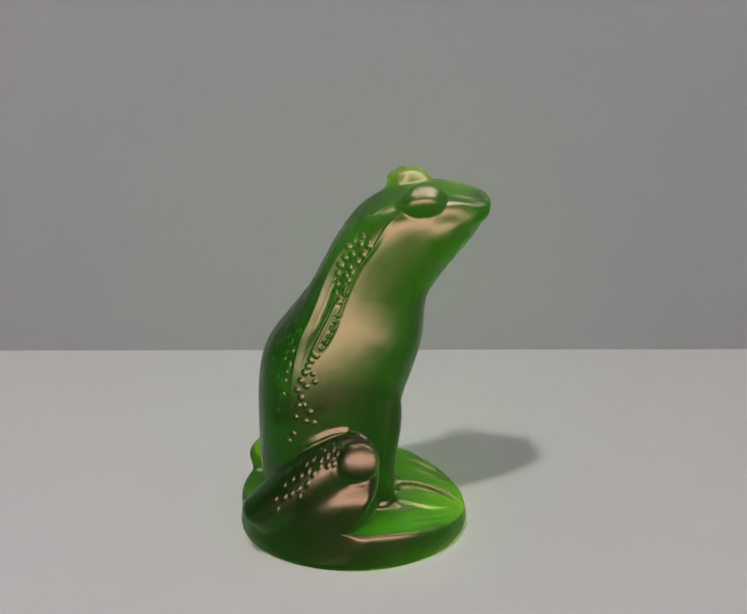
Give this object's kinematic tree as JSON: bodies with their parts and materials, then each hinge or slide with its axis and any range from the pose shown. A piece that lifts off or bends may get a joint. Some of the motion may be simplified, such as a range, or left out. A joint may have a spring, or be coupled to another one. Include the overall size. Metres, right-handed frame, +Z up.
{
  "type": "glass frog figurine",
  "caption": "Seated frog figurine on a webbed-foot base, one solid casting of green satin glass.",
  "frame": {"origin": "centre of the bounding box on the resting face", "axes": "+Z up, +X the way the frog faces, +Y the frog's left"},
  "size_m": [0.0392, 0.0324, 0.0588],
  "materials": {
    "glass": "satin green translucent"
  },
  "bodies": {
    "root": {"glass_frog": "glass"}
  },
  "joints": []
}
